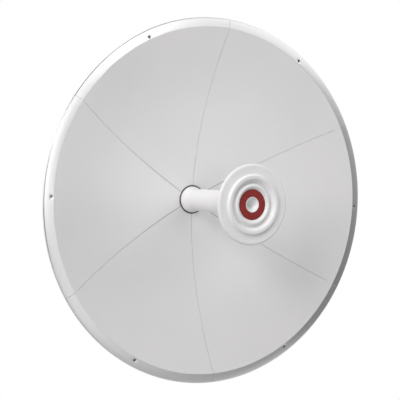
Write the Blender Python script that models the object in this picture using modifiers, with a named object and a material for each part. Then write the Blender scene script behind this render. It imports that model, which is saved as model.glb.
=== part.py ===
"""Microwave dish antenna: a round reflector of six pressed petals on a turned hub, with an axial
feed tube that carries a corrugated sub-reflector, and a flat bolting flange at the rear.

Every piece is modelled with the dish axis along +Z, measured forward from the rear face of the
mount flange. The empty dish_axis then turns the whole assembly so that the dish looks along -Y,
with +X to the right when seen from the front and +Z up. All lengths are in metres.
"""

from math import atan, cos, hypot, pi, radians, sin, tan

import bmesh
import bpy
from mathutils import Matrix, Vector

# Reflector
PETALS = 6
RIM_RADIUS = 0.325
BOWL_EDGE_RADIUS = 0.3095
FOCAL_LENGTH = 0.2204
APEX_HEIGHT = 0.056
SHEET = 0.0016
SEAM_GAP = 0.0006
FLANGE_SLOPE = radians(5)
LIP_DEPTH = 0.007
CREST_BEND_RADIUS = 0.0025
LIP_BEND_RADIUS = 0.0022
RIM_HOLE_CIRCLE = 0.313
RIM_HOLE_RADIUS = 0.0025
RIM_HOLE_REACH = 0.005

# Joint flanges turned back along the straight edges of each petal
JOINT_INNER_RADIUS = 0.095
JOINT_OUTER_RADIUS = 0.300
JOINT_TAPER = 0.030
JOINT_DEPTH = 0.014
JOINT_END_DEPTH = 0.005

# Mount flange, hub and gussets
MOUNT_RADIUS = 0.075
MOUNT_THICKNESS = 0.008
MOUNT_HOLE_CIRCLE = 0.0625
MOUNT_HOLE_RADIUS = 0.0045
HUB_TUBE_RADIUS = 0.050
HUB_TUBE_BORE_RADIUS = 0.044
HUB_PLATE_REAR = 0.046
HUB_PLATE_RADIUS = 0.085
HUB_PLATE_FLAT_RADIUS = 0.076
HUB_PLATE_EDGE = 0.006
GUSSET_THICKNESS = 0.005
GUSSET_REAR_RADIUS = 0.071
GUSSET_FRONT_RADIUS = 0.074
GUSSET_WAIST_RADIUS = 0.060
GUSSET_STRAIGHT = 0.005

# Block under the hub tube, with two cable jacks that point down
BLOCK_HALF_WIDTH = 0.0215
BLOCK_DROP = 0.056
BLOCK_TOP_DROP = 0.042
BLOCK_REAR = 0.014
BLOCK_FRONT = 0.040
BLOCK_CORNER = 0.002
JACK_OFFSET = 0.011
JACK_LENGTH = 0.016
JACK_RADIUS = 0.0079
JACK_FLANGE_RADIUS = 0.0095
JACK_FLANGE_THICKNESS = 0.003
JACK_BORE_RADIUS = 0.0052
JACK_BORE_DEPTH = 0.011

# Feed tube and its gasket
BASE_RADIUS = 0.024
TUBE_RADIUS = 0.0206
TUBE_REAR = 0.0503
TUBE_FRONT = 0.235
FLARE_REAR = 0.0575
FLARE_FRONT = 0.084
GASKET_RADIUS = 0.027
GASKET_FRONT = 0.058

# Sub-reflector, its seal and its cup, with heights measured forward from the plane of the bowl's edge
DISC_RIM_RADIUS = 0.068
DISC_RIM_ROUND = 0.0024
DISC_RIM_HEIGHT = 0.1004
DISC_BACK_HEIGHT = 0.0933
DISC_HOLE_RADIUS = 0.014
FLAT_INNER = (0.0529, 0.0998)
FLAT_OUTER = (0.0635, 0.1008)
OUTER_RING_CREST = (0.0475, 0.1038)
OUTER_RING_SHOULDER = (0.0430, 0.1036)
GROOVE = (0.0364, 0.0970)
INNER_RING_SHOULDER = (0.0318, 0.1009)
INNER_RING_CREST = (0.0302, 0.1009)
SEAT_EDGE = (0.0260, 0.0974)
CONE_RADIUS = 0.042
SEAL_OUTER_RADIUS = 0.0254
SEAL_INNER_RADIUS = 0.0143
SEAL_HEIGHT = 0.0980
SEAL_THICKNESS = 0.0017
CUP_RADIUS = 0.0137
CUP_WALL = 0.0012
CUP_HEIGHT = 0.0977
CUP_DEPTH = 0.0125

# Gap between pieces that touch, and the fineness of round shapes
GAP = 0.0003
TURN_STEPS = 40
PETAL_STEPS = 10
HOLE_SIDES = 16

RIM_PLANE = APEX_HEIGHT + BOWL_EDGE_RADIUS**2 / (4 * FOCAL_LENGTH)


def clear_scene():
    for obj in list(bpy.data.objects):
        bpy.data.objects.remove(obj, do_unlink=True)


def new_collection(name):
    collection = bpy.data.collections.new(name)
    bpy.context.scene.collection.children.link(collection)
    return collection


def new_material(name, color, roughness, metallic=0.0):
    material = bpy.data.materials.new(name)
    material.use_nodes = True
    shader = material.node_tree.nodes["Principled BSDF"]
    shader.inputs["Base Color"].default_value = (*color, 1.0)
    shader.inputs["Roughness"].default_value = roughness
    shader.inputs["Metallic"].default_value = metallic
    material.diffuse_color = (*color, 1.0)
    return material


def add_object(name, data, material, collection, parent=None):
    obj = bpy.data.objects.new(name, data)
    collection.objects.link(obj)
    obj.parent = parent
    if material and not data.materials:
        data.materials.append(material)
    return obj


def eased(start, end, steps=3):
    """Profile points after the start up to the end, easing out of one level and into the other."""
    points = []
    for step in range(1, steps + 1):
        share = step / steps
        rise = (1 - cos(pi * share)) / 2
        points.append((start[0] + (end[0] - start[0]) * share, start[1] + (end[1] - start[1]) * rise))
    return points


def arc(center, radius_across, radius_up, start, end, steps):
    """Profile points round an ellipse, from one angle in degrees to another."""
    angles = [radians(start + (end - start) * step / steps) for step in range(steps + 1)]
    return [(center[0] + radius_across * cos(a), center[1] + radius_up * sin(a)) for a in angles]


def rounded_corner(before, corner, after, radius, steps):
    """Profile points of the round bend that replaces one corner."""
    corner = Vector(corner)
    back = (Vector(before) - corner).normalized()
    onward = (Vector(after) - corner).normalized()
    half_angle = back.angle(onward) / 2
    center = corner + (back + onward).normalized() * radius / sin(half_angle)
    start = corner + back * radius / tan(half_angle) - center
    end = corner + onward * radius / tan(half_angle) - center
    directions = [start.slerp(end, step / steps).normalized() for step in range(steps + 1)]
    return [tuple(center + direction * radius) for direction in directions]


def turned(name, profile, material, collection, parent, closed=True, steps=TURN_STEPS):
    """A solid turned about +Z. Its profile of (radius, height) points runs down its outer side."""
    shape = bmesh.new()
    verts = [shape.verts.new((radius, 0.0, height)) for radius, height in profile]
    for pair in zip(verts, verts[1:]):
        shape.edges.new(pair)
    if closed:
        shape.edges.new((verts[-1], verts[0]))
    mesh = bpy.data.meshes.new(name)
    shape.to_mesh(mesh)
    shape.free()
    obj = add_object(name, mesh, material, collection, parent)
    screw = obj.modifiers.new("turn", "SCREW")
    screw.steps = steps
    screw.render_steps = steps
    screw.use_merge_vertices = True
    screw.merge_threshold = 0.00001
    screw.use_smooth_shade = True
    return obj


def drill(name, radius, low, high, places, cutters, parent=None, sides=HOLE_SIDES):
    """A cutter of upright cylinders between two heights, one at each (x, y) place."""
    shape = bmesh.new()
    for x, y in places:
        bmesh.ops.create_cone(
            shape,
            cap_ends=True,
            segments=sides,
            radius1=radius,
            radius2=radius,
            depth=high - low,
            matrix=Matrix.Translation((x, y, (low + high) / 2)),
        )
    mesh = bpy.data.meshes.new(name)
    shape.to_mesh(mesh)
    shape.free()
    cutter = add_object(name, mesh, None, cutters, parent)
    cutter.hide_render = True
    cutter.display_type = "WIRE"
    return cutter


def cut(obj, cutter):
    boolean = obj.modifiers.new("cut", "BOOLEAN")
    boolean.operation = "DIFFERENCE"
    boolean.solver = "EXACT"
    boolean.object = cutter


def bowl_height(radius):
    """Height of the reflector's front surface, a paraboloid."""
    return APEX_HEIGHT + radius**2 / (4 * FOCAL_LENGTH)


def behind_bowl(radius, distance):
    """Height of a surface that lies this far behind the front surface, measured square to it."""
    return bowl_height(radius) - distance / cos(atan(radius / (2 * FOCAL_LENGTH)))


def petal_profile():
    """The front surface of a petal, from the centre hole over the rim to the edge of the lip."""
    full_start = JOINT_INNER_RADIUS + JOINT_TAPER
    full_end = JOINT_OUTER_RADIUS - JOINT_TAPER
    center_hole = GASKET_RADIUS + GAP
    radii = [center_hole, (center_hole + JOINT_INNER_RADIUS) / 2, JOINT_INNER_RADIUS]
    radii += [full_start + (full_end - full_start) * step / 4 for step in range(5)]
    radii.append(JOINT_OUTER_RADIUS)
    bowl = [(radius, bowl_height(radius)) for radius in radii]
    edge = (BOWL_EDGE_RADIUS, RIM_PLANE)
    rim = (RIM_RADIUS, RIM_PLANE - (RIM_RADIUS - BOWL_EDGE_RADIUS) * tan(FLANGE_SLOPE))
    lip_end = (RIM_RADIUS, rim[1] - LIP_DEPTH)
    crest = rounded_corner(bowl[-1], edge, rim, CREST_BEND_RADIUS, 2)
    turn = rounded_corner(edge, rim, lip_end, LIP_BEND_RADIUS, 3)
    return bowl + crest + turn + [lip_end]


def seam_normal(side):
    """The direction out of a petal, square to its seam on side +1 or -1."""
    half = pi / PETALS
    return Vector((-sin(half), side * cos(half), 0.0))


def trim_to_seam(shape, side):
    """Cuts the spun sector back from the seam plane by half the seam gap."""
    normal = seam_normal(side)
    bmesh.ops.bisect_plane(
        shape,
        geom=shape.verts[:] + shape.edges[:] + shape.faces[:],
        plane_co=normal * (-SEAM_GAP / 2),
        plane_no=normal,
        clear_outer=True,
    )


def joint_depth(radius):
    """How far a joint flange reaches back at this radius, less towards its two ends."""
    from_end = min(radius - JOINT_INNER_RADIUS, JOINT_OUTER_RADIUS - radius)
    share = min(max(from_end / JOINT_TAPER, 0.0), 1.0)
    return JOINT_END_DEPTH + (JOINT_DEPTH - JOINT_END_DEPTH) * share


def fold_joint_flange(shape, side):
    """Turns the sheet straight back along one seam edge of the petal."""
    normal = seam_normal(side)
    nearest = JOINT_INNER_RADIUS - SEAM_GAP
    farthest = JOINT_OUTER_RADIUS + SEAM_GAP
    edges = []
    for edge in shape.edges:
        on_seam = all(abs(vert.co.dot(normal)) < SEAM_GAP for vert in edge.verts)
        in_reach = all(nearest < hypot(vert.co.x, vert.co.y) < farthest for vert in edge.verts)
        if edge.is_boundary and on_seam and in_reach:
            edges.append(edge)
    folded = bmesh.ops.extrude_edge_only(shape, edges=edges)
    for vert in folded["geom"]:
        if isinstance(vert, bmesh.types.BMVert):
            vert.co.z -= joint_depth(hypot(vert.co.x, vert.co.y))


def petal_surface():
    """The front surface of one petal, centred on +X, with its rim and its two joint flanges."""
    start = Matrix.Rotation(-pi / PETALS, 3, "Z")
    shape = bmesh.new()
    verts = [shape.verts.new(start @ Vector((radius, 0.0, height))) for radius, height in petal_profile()]
    edges = [shape.edges.new(pair) for pair in zip(verts, verts[1:])]
    bmesh.ops.spin(
        shape,
        geom=verts + edges,
        axis=(0.0, 0.0, 1.0),
        angle=2 * pi / PETALS,
        steps=PETAL_STEPS,
    )
    for side in (1, -1):
        trim_to_seam(shape, side)
    for side in (1, -1):
        fold_joint_flange(shape, side)
    bmesh.ops.recalc_face_normals(shape, faces=shape.faces[:])
    if sum(face.normal.z * face.calc_area() for face in shape.faces) < 0:
        bmesh.ops.reverse_faces(shape, faces=shape.faces[:])
    mesh = bpy.data.meshes.new("petal_surface")
    shape.to_mesh(mesh)
    shape.free()
    return mesh


def petal_mesh(cutters):
    """A finished petal: the surface thickened to the rear, with its hole through the rim."""
    sheet = add_object("petal_sheet", petal_surface(), None, cutters)
    sheet.hide_render = True
    sheet.display_type = "WIRE"
    thicken = sheet.modifiers.new("thicken", "SOLIDIFY")
    thicken.thickness = SHEET
    thicken.offset = -1.0
    thicken.use_even_offset = True
    low, high = RIM_PLANE - RIM_HOLE_REACH, RIM_PLANE + RIM_HOLE_REACH
    cut(sheet, drill("rim_hole", RIM_HOLE_RADIUS, low, high, [(RIM_HOLE_CIRCLE, 0.0)], cutters))
    graph = bpy.context.evaluated_depsgraph_get()
    mesh = bpy.data.meshes.new_from_object(sheet.evaluated_get(graph))
    mesh.name = "petal"
    mesh.shade_smooth()
    mesh.set_sharp_from_angle(angle=radians(30))
    return mesh


def add_petals(collection, cutters, axis, material):
    mesh = petal_mesh(cutters)
    for number in range(PETALS):
        petal = add_object(f"petal_{number + 1}", mesh, material, collection, axis)
        petal.rotation_euler.z = number * 2 * pi / PETALS


def add_hub(collection, axis, material):
    """The plate that the petals lie on, with a pocket for the feed, and the short tube behind it."""
    pocket = GASKET_RADIUS + GAP
    floor = TUBE_REAR - GAP
    radii = [HUB_PLATE_RADIUS + (pocket - HUB_PLATE_RADIUS) * step / 4 for step in range(5)]
    front = [(radius, behind_bowl(radius, SHEET + GAP)) for radius in radii]
    rear = [
        (HUB_PLATE_RADIUS, front[0][1] - HUB_PLATE_EDGE),
        (HUB_PLATE_FLAT_RADIUS, HUB_PLATE_REAR),
        (0.0, HUB_PLATE_REAR),
    ]
    plate = [(0.0, floor), (pocket, floor)] + list(reversed(front)) + rear
    turned("hub_plate", plate, material, collection, axis, closed=False)
    tube_front = HUB_PLATE_REAR - GAP
    tube_rear = MOUNT_THICKNESS + GAP
    tube = [
        (HUB_TUBE_RADIUS, tube_front),
        (HUB_TUBE_RADIUS, tube_rear),
        (HUB_TUBE_BORE_RADIUS, tube_rear),
        (HUB_TUBE_BORE_RADIUS, tube_front),
    ]
    turned("hub_tube", tube, material, collection, axis)


def gusset_curve(material):
    """The outline of a gusset with a hollow outer edge, extruded to half its thickness each way."""
    inner = HUB_TUBE_RADIUS + GAP
    rear = MOUNT_THICKNESS + GAP
    front = HUB_PLATE_REAR - GAP
    middle = (rear + front) / 2
    outline = [
        (inner, rear),
        (GUSSET_REAR_RADIUS, rear),
        (GUSSET_REAR_RADIUS, rear + GUSSET_STRAIGHT),
        (GUSSET_WAIST_RADIUS, middle - GUSSET_STRAIGHT),
        (GUSSET_WAIST_RADIUS, middle + GUSSET_STRAIGHT),
        (GUSSET_FRONT_RADIUS, front - GUSSET_STRAIGHT),
        (GUSSET_FRONT_RADIUS, front),
        (inner, front),
    ]
    curve = bpy.data.curves.new("gusset", "CURVE")
    curve.dimensions = "2D"
    curve.fill_mode = "BOTH"
    curve.extrude = GUSSET_THICKNESS / 2
    spline = curve.splines.new("POLY")
    spline.points.add(len(outline) - 1)
    for point, (across, up) in zip(spline.points, outline):
        point.co = (across, up, 0.0, 1.0)
    spline.use_cyclic_u = True
    curve.materials.append(material)
    return curve


def add_gussets(collection, axis, material):
    curve = gusset_curve(material)
    for number in range(PETALS):
        gusset = add_object(f"hub_gusset_{number + 1}", curve, None, collection, axis)
        gusset.rotation_euler = (pi / 2, 0.0, number * 2 * pi / PETALS)


def add_mount_flange(collection, cutters, axis, material):
    """The rear flange, whose flat rear face bolts to a bracket through holes between the gussets."""
    disc = [(0.0, MOUNT_THICKNESS), (MOUNT_RADIUS, MOUNT_THICKNESS), (MOUNT_RADIUS, 0.0), (0.0, 0.0)]
    flange = turned("mount_flange", disc, material, collection, axis, closed=False)
    angles = [(number + 0.5) * 2 * pi / PETALS for number in range(PETALS)]
    places = [(MOUNT_HOLE_CIRCLE * cos(angle), MOUNT_HOLE_CIRCLE * sin(angle)) for angle in angles]
    low, high = -MOUNT_THICKNESS, 2 * MOUNT_THICKNESS
    cut(flange, drill("mount_holes", MOUNT_HOLE_RADIUS, low, high, places, cutters, axis))


def add_jack_block(collection, cutters, axis, material):
    """A block with a flat underside, hollowed above to fit the round hub tube."""
    size = (2 * BLOCK_HALF_WIDTH, BLOCK_DROP - BLOCK_TOP_DROP, BLOCK_FRONT - BLOCK_REAR)
    middle = (0.0, -(BLOCK_DROP + BLOCK_TOP_DROP) / 2, (BLOCK_FRONT + BLOCK_REAR) / 2)
    shape = bmesh.new()
    place = Matrix.Translation(middle) @ Matrix.Diagonal((*size, 1.0))
    bmesh.ops.create_cube(shape, size=1.0, matrix=place)
    mesh = bpy.data.meshes.new("jack_block")
    shape.to_mesh(mesh)
    shape.free()
    block = add_object("jack_block", mesh, material, collection, axis)
    bevel = block.modifiers.new("round_edges", "BEVEL")
    bevel.width = BLOCK_CORNER
    bevel.segments = 2
    bevel.limit_method = "ANGLE"
    radius = HUB_TUBE_RADIUS + GAP
    sides = 3 * TURN_STEPS
    outline = drill("hub_tube_outline", radius, 0.0, HUB_PLATE_REAR, [(0.0, 0.0)], cutters, axis, sides)
    cut(block, outline)


def add_jacks(collection, axis, metal):
    """Two threaded cable jacks, turned with their mouths down, under the jack block."""
    top = -GAP
    shoulder = top - JACK_FLANGE_THICKNESS
    mouth = top - JACK_LENGTH
    jack = [
        (0.0, top),
        (JACK_FLANGE_RADIUS, top),
        (JACK_FLANGE_RADIUS, shoulder),
        (JACK_RADIUS, shoulder),
        (JACK_RADIUS, mouth),
        (JACK_BORE_RADIUS, mouth),
        (JACK_BORE_RADIUS, mouth + JACK_BORE_DEPTH),
        (0.0, mouth + JACK_BORE_DEPTH),
    ]
    for number, across in enumerate((-JACK_OFFSET, JACK_OFFSET)):
        name = f"cable_jack_{number + 1}"
        placed = turned(name, jack, metal, collection, axis, closed=False, steps=24)
        placed.location = (across, -BLOCK_DROP, (BLOCK_FRONT + BLOCK_REAR) / 2)
        placed.rotation_euler.x = -pi / 2


def flare_profile(steps):
    """The foot of the feed tube, which widens ever more steeply from the tube to the base."""
    points = []
    for step in range(steps + 1):
        share = step / steps
        radius = TUBE_RADIUS + (BASE_RADIUS - TUBE_RADIUS) * share**2
        points.append((radius, FLARE_FRONT + (FLARE_REAR - FLARE_FRONT) * share))
    return points


def add_feed_front(collection, axis, white, rubber):
    """The gasket in the centre hole, the flared feed tube and the cone at its front end."""
    gasket = [
        (GASKET_RADIUS, GASKET_FRONT),
        (GASKET_RADIUS, TUBE_REAR),
        (BASE_RADIUS + GAP, TUBE_REAR),
        (BASE_RADIUS + GAP, GASKET_FRONT),
    ]
    turned("feed_gasket", gasket, rubber, collection, axis)
    tube = [(0.0, TUBE_FRONT), (TUBE_RADIUS, TUBE_FRONT)]
    tube += flare_profile(4) + [(BASE_RADIUS, TUBE_REAR), (0.0, TUBE_REAR)]
    turned("feed_tube", tube, white, collection, axis, closed=False)
    cone_front = RIM_PLANE + DISC_BACK_HEIGHT - GAP
    recess_floor = RIM_PLANE + CUP_HEIGHT - CUP_DEPTH - CUP_WALL - GAP
    cone = [
        (0.0, recess_floor),
        (DISC_HOLE_RADIUS, recess_floor),
        (DISC_HOLE_RADIUS, cone_front),
        (CONE_RADIUS, cone_front),
        (TUBE_RADIUS, TUBE_FRONT + GAP),
        (0.0, TUBE_FRONT + GAP),
    ]
    turned("feed_cone", cone, white, collection, axis, closed=False)


def sub_reflector_profile():
    """The rounded rim, the flat back, the hole, the seat of the seal and the two raised rings."""
    rim_center = (DISC_RIM_RADIUS - DISC_RIM_ROUND, DISC_RIM_HEIGHT)
    rim = arc(rim_center, DISC_RIM_ROUND, DISC_RIM_ROUND, 90, -60, 4)
    seat = SEAL_HEIGHT - SEAL_THICKNESS - GAP
    back = [(CONE_RADIUS, DISC_BACK_HEIGHT), (DISC_HOLE_RADIUS, DISC_BACK_HEIGHT)]
    floor = [(DISC_HOLE_RADIUS, seat), (SEAT_EDGE[0], seat), SEAT_EDGE]
    inner_ring = eased(SEAT_EDGE, INNER_RING_CREST) + eased(INNER_RING_SHOULDER, GROOVE, 4)
    outer_ring = eased(GROOVE, OUTER_RING_SHOULDER, 4) + eased(OUTER_RING_CREST, FLAT_INNER, 4)
    return rim + back + floor + inner_ring + outer_ring + [FLAT_OUTER]


def add_sub_reflector(collection, axis, white, red, pale):
    """The corrugated disc, the flat red seal round its middle and the cup in its centre."""
    disc = [(radius, RIM_PLANE + height) for radius, height in sub_reflector_profile()]
    turned("sub_reflector", disc, white, collection, axis)
    front = RIM_PLANE + SEAL_HEIGHT
    seal = [
        (SEAL_OUTER_RADIUS, front),
        (SEAL_OUTER_RADIUS, front - SEAL_THICKNESS),
        (SEAL_INNER_RADIUS, front - SEAL_THICKNESS),
        (SEAL_INNER_RADIUS, front),
    ]
    turned("seal_ring", seal, red, collection, axis)
    center = (0.0, RIM_PLANE + CUP_HEIGHT)
    inside = arc(center, CUP_RADIUS - CUP_WALL, CUP_DEPTH, -90, 0, 4)
    outside = arc(center, CUP_RADIUS, CUP_DEPTH + CUP_WALL, 0, -90, 4)
    turned("centre_cup", inside + outside, pale, collection, axis, closed=False, steps=24)


def main():
    clear_scene()
    dish = new_collection("microwave_dish_antenna")
    cutters = new_collection("cutters")
    white_sheet = new_material("white_sheet", (0.84, 0.84, 0.84), 0.35)
    white_plastic = new_material("white_plastic", (0.86, 0.86, 0.85), 0.4)
    grey_hub = new_material("grey_hub", (0.62, 0.63, 0.64), 0.45)
    black_rubber = new_material("black_rubber", (0.03, 0.03, 0.03), 0.7)
    red_rubber = new_material("red_rubber", (0.24, 0.02, 0.02), 0.5)
    nickel = new_material("nickel", (0.72, 0.69, 0.63), 0.25, 1.0)
    axis = add_object("dish_axis", None, None, dish)
    axis.rotation_euler.x = pi / 2
    add_petals(dish, cutters, axis, white_sheet)
    add_hub(dish, axis, grey_hub)
    add_gussets(dish, axis, grey_hub)
    add_mount_flange(dish, cutters, axis, grey_hub)
    add_jack_block(dish, cutters, axis, grey_hub)
    add_jacks(dish, axis, nickel)
    add_feed_front(dish, axis, white_plastic, black_rubber)
    add_sub_reflector(dish, axis, white_plastic, red_rubber, white_plastic)


main()
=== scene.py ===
# %% [markdown]
# # A microwave dish antenna
#
# The real object is a round white reflector, 650 mm across, made of six equal petals of thin
# pressed sheet. A white tube stands in its middle and carries a small ringed disc, which throws
# the waves back into the bowl. Behind the bowl sit a cast hub, a bolting flange and two cable
# jacks.
#
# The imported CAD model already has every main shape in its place. This lesson dresses it: each
# visible piece gets a finer mesh and a finish of its own, and then a small studio is built round
# it.

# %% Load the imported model
from math import atan, cos, pi, radians, sin, tan

import bmesh
import bpy
from mathutils import Matrix, Vector


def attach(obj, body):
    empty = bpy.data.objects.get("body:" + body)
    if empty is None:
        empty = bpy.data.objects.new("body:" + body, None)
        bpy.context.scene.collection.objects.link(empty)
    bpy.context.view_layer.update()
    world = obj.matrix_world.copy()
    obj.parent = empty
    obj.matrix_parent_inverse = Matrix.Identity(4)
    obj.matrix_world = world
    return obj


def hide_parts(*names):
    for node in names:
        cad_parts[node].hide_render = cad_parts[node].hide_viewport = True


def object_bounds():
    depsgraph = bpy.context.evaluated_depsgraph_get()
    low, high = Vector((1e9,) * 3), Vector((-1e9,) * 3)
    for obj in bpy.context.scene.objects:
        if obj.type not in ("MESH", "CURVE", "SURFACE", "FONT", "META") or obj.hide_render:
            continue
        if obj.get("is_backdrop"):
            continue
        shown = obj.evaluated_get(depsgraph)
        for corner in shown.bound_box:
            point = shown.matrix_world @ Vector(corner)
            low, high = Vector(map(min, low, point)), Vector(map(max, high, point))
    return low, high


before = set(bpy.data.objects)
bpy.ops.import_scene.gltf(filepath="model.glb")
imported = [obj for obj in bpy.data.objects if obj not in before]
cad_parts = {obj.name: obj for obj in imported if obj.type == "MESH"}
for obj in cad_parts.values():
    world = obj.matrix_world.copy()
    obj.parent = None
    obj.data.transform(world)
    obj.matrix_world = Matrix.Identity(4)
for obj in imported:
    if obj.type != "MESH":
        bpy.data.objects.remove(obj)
cad_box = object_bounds()
print("CAD nodes:", len(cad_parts))
print("CAD box:", [tuple(round(x, 4) for x in corner) for corner in cad_box])

# %% [markdown]
# ## A bench to work on
#
# Almost everything here is turned round one axis. It is easiest to build such pieces on a bench
# where that axis is +Z and the front is up, and to turn each finished mesh so that the front
# looks along -Y. The turn goes into the mesh, not into the object, so every object stays at the
# origin. Patterns that read Object coordinates then keep their place, and so does the exported
# model.

# %% Finish a piece
BENCH_TO_ROOM = Matrix.Rotation(pi / 2, 4, "X")
triangles = {}


def finish_piece(name, shape, paint, nodes=(), crease=35):
    """Makes a bmesh from the bench a piece of the antenna that stands for the given CAD nodes."""
    shape.transform(BENCH_TO_ROOM)
    mesh = bpy.data.meshes.new(name)
    shape.to_mesh(mesh)
    shape.free()
    mesh.materials.append(paint)
    mesh.shade_smooth()
    mesh.set_sharp_from_angle(angle=radians(crease))
    piece = bpy.data.objects.new(name, mesh)
    bpy.context.scene.collection.objects.link(piece)
    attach(piece, "root")
    if nodes:
        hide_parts(*nodes)
    triangles[name] = sum(len(polygon.vertices) - 2 for polygon in mesh.polygons)
    return piece


def close_up(shape):
    """Merges a shape's doubled vertices and turns all its faces the same way, outwards."""
    bmesh.ops.remove_doubles(shape, verts=shape.verts[:], dist=0.000002)
    bmesh.ops.recalc_face_normals(shape, faces=shape.faces[:])
    return shape


print("bench ready")

# %% [markdown]
# ## Lines with soft corners
#
# No edge on a moulded, cast or pressed piece is perfectly sharp, and it is the small bends that
# catch the light. A turned piece is drawn as a line of corners, each with its own bend radius,
# and `softened` puts the arcs in. `turned` then spins the line round the bench axis.

# %% Draw a line and turn it
def softened(corners, steps=5, closed=False):
    """Points of a line through (radius, height, bend) corners, with an arc at each bend."""
    points = []
    for number, (across, up, bend) in enumerate(corners):
        corner = Vector((across, up))
        at_end = number in (0, len(corners) - 1) and not closed
        if bend == 0 or at_end:
            points.append(tuple(corner))
            continue
        back = (Vector(corners[number - 1][:2]) - corner).normalized()
        onward = (Vector(corners[(number + 1) % len(corners)][:2]) - corner).normalized()
        half_angle = back.angle(onward) / 2
        middle = corner + (back + onward).normalized() * bend / sin(half_angle)
        start = corner + back * bend / tan(half_angle) - middle
        end = corner + onward * bend / tan(half_angle) - middle
        for step in range(steps + 1):
            points.append(tuple(middle + start.slerp(end, step / steps).normalized() * bend))
    return points


def eased(start, end, steps):
    """Points after the start up to the end, easing out of one height and into the other."""
    points = []
    for step in range(1, steps + 1):
        share = step / steps
        rise = (1 - cos(pi * share)) / 2
        across = start[0] + (end[0] - start[0]) * share
        up = start[1] + (end[1] - start[1]) * rise
        points.append((across, up))
    return points


def turned(line, steps=96, closed=True):
    """A closed solid turned round the bench axis from a line of (radius, height) points."""
    shape = bmesh.new()
    points = [shape.verts.new((radius, 0, height)) for radius, height in line]
    edges = [shape.edges.new(pair) for pair in zip(points, points[1:])]
    if closed:
        edges.append(shape.edges.new((points[-1], points[0])))
    bmesh.ops.spin(
        shape, geom=points + edges, axis=(0, 0, 1), angle=2 * pi, steps=steps, use_merge=True
    )
    return close_up(shape)


print("a soft corner has", len(softened([(0, 0, 0), (1, 0, 0.1), (1, 1, 0)])) - 2, "points")

# %% [markdown]
# ## Sums on sockets
#
# A procedural finish is a sum: this noise times that mask plus a little of something else.
# Blender writes each step as a node. The class below wraps a node's output, so that the same sum
# can be written as a Python expression, and every operator adds its Math node. Colours go through
# a Mix node instead, because a Math node would turn them grey.

# %% A socket that can be added and multiplied
class Signal:
    """One output socket of a material's nodes."""

    def __init__(self, socket):
        self.socket = socket
        self.tree = socket.id_data

    @classmethod
    def node(cls, tree, kind, settings=None, inputs=None, output=0):
        """Adds a node, sets its settings and then its sockets, and gives one of its outputs."""
        made = tree.nodes.new("ShaderNode" + kind)
        for name, value in (settings or {}).items():
            setattr(made, name, value)
        for name, value in (inputs or {}).items():
            if isinstance(value, Signal):
                tree.links.new(value.socket, made.inputs[name])
            else:
                made.inputs[name].default_value = value
        return cls(made.outputs[output])

    def math(self, operation, *others):
        """Adds a Math node whose first value is this signal."""
        inputs = dict(enumerate((self, *others)))
        return Signal.node(self.tree, "Math", {"operation": operation}, inputs)

    def __add__(self, other):
        return self.math("ADD", other)

    __radd__ = __add__

    def __mul__(self, other):
        return self.math("MULTIPLY", other)

    __rmul__ = __mul__

    def __sub__(self, other):
        return self.math("SUBTRACT", other)

    def __rsub__(self, other):
        return self.math("MULTIPLY_ADD", -1.0, other)

    def __pow__(self, other):
        return self.math("POWER", other)

    def between(self, low, high, start=0.0, end=1.0):
        """Goes smoothly from start to end as this value goes from low to high."""
        settings = {"interpolation_type": "SMOOTHSTEP"}
        inputs = {"Value": self, "From Min": low, "From Max": high, "To Min": start, "To Max": end}
        return Signal.node(self.tree, "MapRange", settings, inputs)


MIX_SHARE, MIX_FIRST, MIX_SECOND, MIX_RESULT = 0, 6, 7, 2


def mixed(share, first, second):
    """A colour that goes from the first to the second as share goes from 0 to 1."""
    first, second = (c if isinstance(c, Signal) else (*c, 1) for c in (first, second))
    inputs = {MIX_SHARE: share, MIX_FIRST: first, MIX_SECOND: second}
    return Signal.node(share.tree, "Mix", {"data_type": "RGBA"}, inputs, MIX_RESULT)


def noise(place, scale, detail=2.0, roughness=0.5):
    """A soft noise whose grains are about one part in scale of a metre."""
    inputs = {"Vector": place, "Scale": scale, "Detail": detail, "Roughness": roughness}
    return Signal.node(place.tree, "TexNoise", None, inputs, "Fac")


print("signals ready")

# %% [markdown]
# ## A blank finish
#
# Every finish starts from one Principled shader. What is the same all over the piece is set on
# the shader itself. What changes over the surface is linked in: colour, roughness, metal, coat
# and bump. Object coordinates are the room's own metres here, so a noise of scale 500 has grains
# of about 2 mm.

# %% Start and close a finish
def start_finish(name, **constants):
    """A new material with constant values on its shader, and its Object coordinates."""
    paint = bpy.data.materials.new(name)
    paint.use_nodes = True
    tree = paint.node_tree
    shader = tree.nodes["Principled BSDF"]
    for socket, value in constants.items():
        shader.inputs[socket.replace("_", " ")].default_value = value
    return paint, Signal.node(tree, "TexCoord", output="Object")


def feed(paint, **links):
    """Links signals to the shader's sockets, such as Base_Color and Roughness."""
    shader = paint.node_tree.nodes["Principled BSDF"]
    for socket, signal in links.items():
        paint.node_tree.links.new(signal.socket, shader.inputs[socket.replace("_", " ")])
    return paint


def bumped(height, depth, strength=1.0):
    """A Normal signal from a height signal that spans this many metres."""
    inputs = {"Strength": strength, "Distance": depth, "Height": height}
    return Signal.node(height.tree, "Bump", None, inputs)


def part_of(place, axis):
    """X, Y or Z of a position signal."""
    return Signal.node(place.tree, "SeparateXYZ", None, {"Vector": place}, axis)


def from_axis(place):
    """Distance from the dish axis."""
    across, up = part_of(place, "X"), part_of(place, "Z")
    return (across * across + up * up) ** 0.5


print("finishes ready")

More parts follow.
